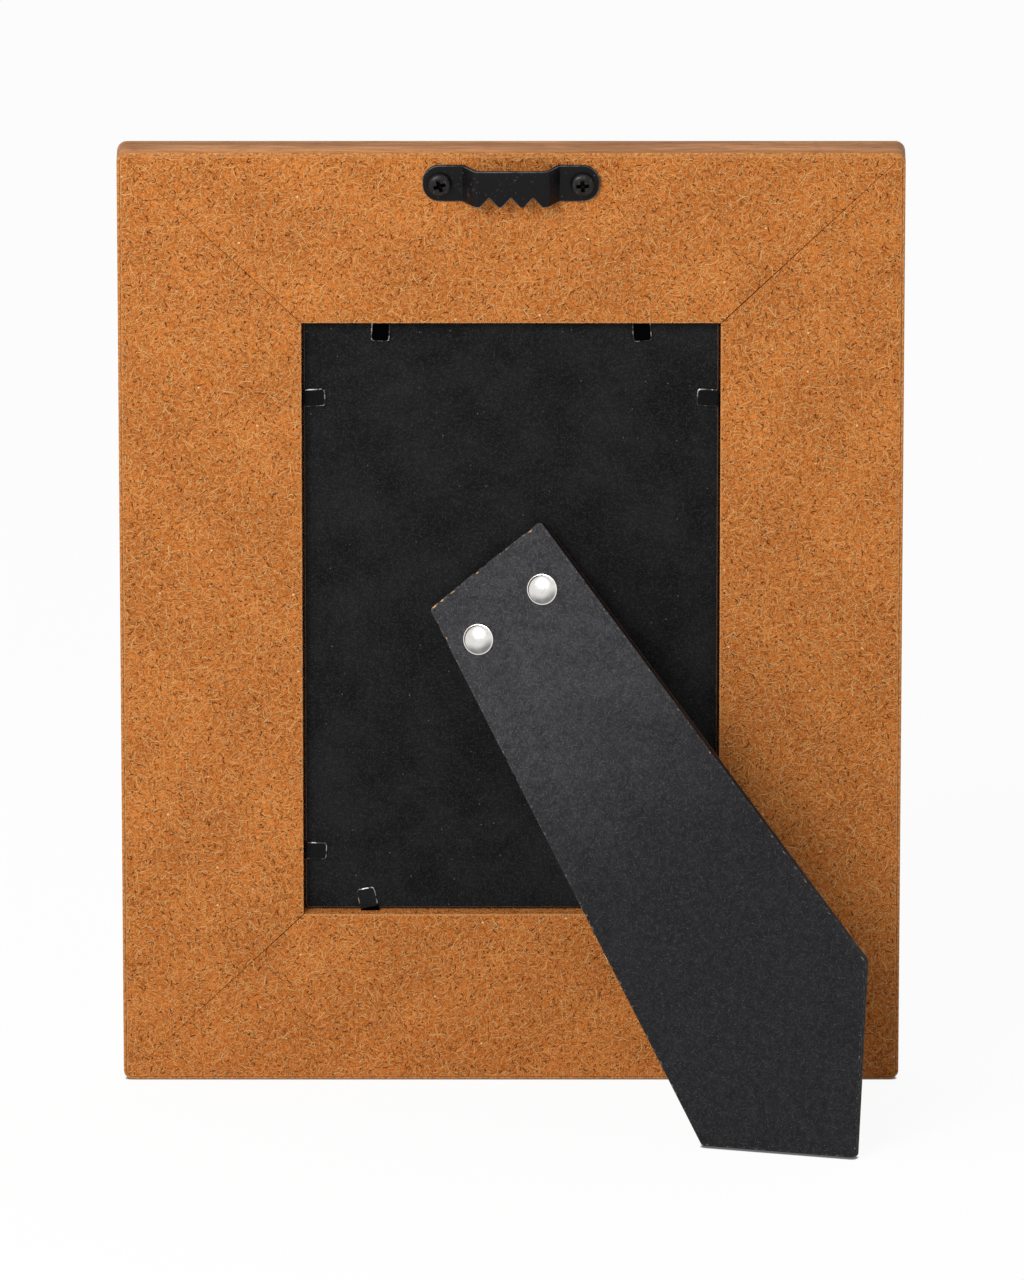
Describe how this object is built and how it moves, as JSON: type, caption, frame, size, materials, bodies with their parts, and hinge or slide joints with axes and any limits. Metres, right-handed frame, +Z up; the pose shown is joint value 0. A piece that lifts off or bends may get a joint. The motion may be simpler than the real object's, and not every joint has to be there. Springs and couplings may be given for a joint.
{
  "type": "easel back photo frame",
  "caption": "Rectangular photo frame with mitred rails, glass, backing held by bendable points, a sawtooth hanger and a hinged leg that stands it upright or sideways.",
  "frame": {"origin": "on the floor under the middle of the standing object's box", "axes": "+Z up, the picture faces -Y, the leg stands out on +Y"},
  "size_m": [0.193, 0.0837, 0.2472],
  "materials": {
    "mdf": "bare fibreboard",
    "veneer": "satin wood grain",
    "glass": "clear",
    "insert": "matte print",
    "backing": "black fibre, matte",
    "leg": "dark hardboard, worn edges",
    "point": "black, bare at the cut edges",
    "hanger": "black lacquer",
    "screw": "black oxide",
    "rivet": "bright, domed",
    "hinge": "pressed sheet"
  },
  "bodies": {
    "frame": {"top_rail": "mdf", "bottom_rail": "mdf", "left_rail": "mdf", "right_rail": "mdf", "top_veneer": "veneer", "bottom_veneer": "veneer", "left_veneer": "veneer", "right_veneer": "veneer", "glass": "glass", "insert": "insert", "backing_board": "backing", "top_left_point_shank": "point", "top_right_point_shank": "point", "left_upper_point_shank": "point", "left_lower_point_shank": "point", "right_upper_point_shank": "point", "right_lower_point_shank": "point", "bottom_left_point_shank": "point", "bottom_right_point_shank": "point", "sawtooth_hanger": "hanger", "left_hanger_screw": "screw", "right_hanger_screw": "screw", "hinge_base_leaf": "hinge", "hinge_pin": "hinge", "left_base_rivet": "rivet", "right_base_rivet": "rivet"},
    "leg": {"easel_leg": "leg", "hinge_leg_leaf": "hinge", "left_leg_rivet": "rivet", "right_leg_rivet": "rivet"},
    "top_left_tip": {"top_left_point_tip": "point"},
    "top_right_tip": {"top_right_point_tip": "point"},
    "left_upper_tip": {"left_upper_point_tip": "point"},
    "left_lower_tip": {"left_lower_point_tip": "point"},
    "right_upper_tip": {"right_upper_point_tip": "point"},
    "right_lower_tip": {"right_lower_point_tip": "point"},
    "bottom_left_tip": {"bottom_left_point_tip": "point"},
    "bottom_right_tip": {"bottom_right_point_tip": "point"}
  },
  "joints": [
    {"name": "leg_hinge", "type": "hinge", "parent": "frame", "child": "leg", "pos_m": [0.0018, -0.01215, 0.12905], "axis": [0.7604, -0.1016, -0.6415], "range_deg": [-25, 0]},
    {"name": "top_left_point_bend", "type": "hinge", "parent": "frame", "child": "top_left_tip", "pos_m": [0.03194, -0.00245, 0.2012], "axis": [0.9986, 0.0082, 0.0517], "range_deg": [0, 85]},
    {"name": "top_right_point_bend", "type": "hinge", "parent": "frame", "child": "top_right_tip", "pos_m": [-0.03195, -0.00245, 0.20116], "axis": [0.9976, -0.0109, -0.0689], "range_deg": [0, 85]},
    {"name": "left_upper_point_bend", "type": "hinge", "parent": "frame", "child": "left_upper_tip", "pos_m": [0.05078, -0.00561, 0.18121], "axis": [-0.0523, -0.1562, -0.9863], "range_deg": [0, 85]},
    {"name": "left_lower_point_bend", "type": "hinge", "parent": "frame", "child": "left_lower_tip", "pos_m": [0.05082, -0.02466, 0.06094], "axis": [0.0349, -0.1563, -0.9871], "range_deg": [0, 85]},
    {"name": "right_upper_point_bend", "type": "hinge", "parent": "frame", "child": "right_upper_tip", "pos_m": [-0.05078, -0.00561, 0.18121], "axis": [-0.0523, 0.1562, 0.9863], "range_deg": [0, 85]},
    {"name": "right_lower_point_bend", "type": "hinge", "parent": "frame", "child": "right_lower_tip", "pos_m": [-0.05082, -0.02466, 0.06094], "axis": [0.0349, 0.1563, 0.9871], "range_deg": [0, 85]},
    {"name": "bottom_left_point_bend", "type": "hinge", "parent": "frame", "child": "bottom_left_tip", "pos_m": [0.03523, -0.02704, 0.04593], "axis": [-0.9781, 0.0325, 0.2054], "range_deg": [0, 85]},
    {"name": "bottom_right_point_bend", "type": "hinge", "parent": "frame", "child": "bottom_right_tip", "pos_m": [-0.03507, -0.02708, 0.04566], "axis": [-0.9962, -0.0136, -0.0861], "range_deg": [0, 85]}
  ]
}
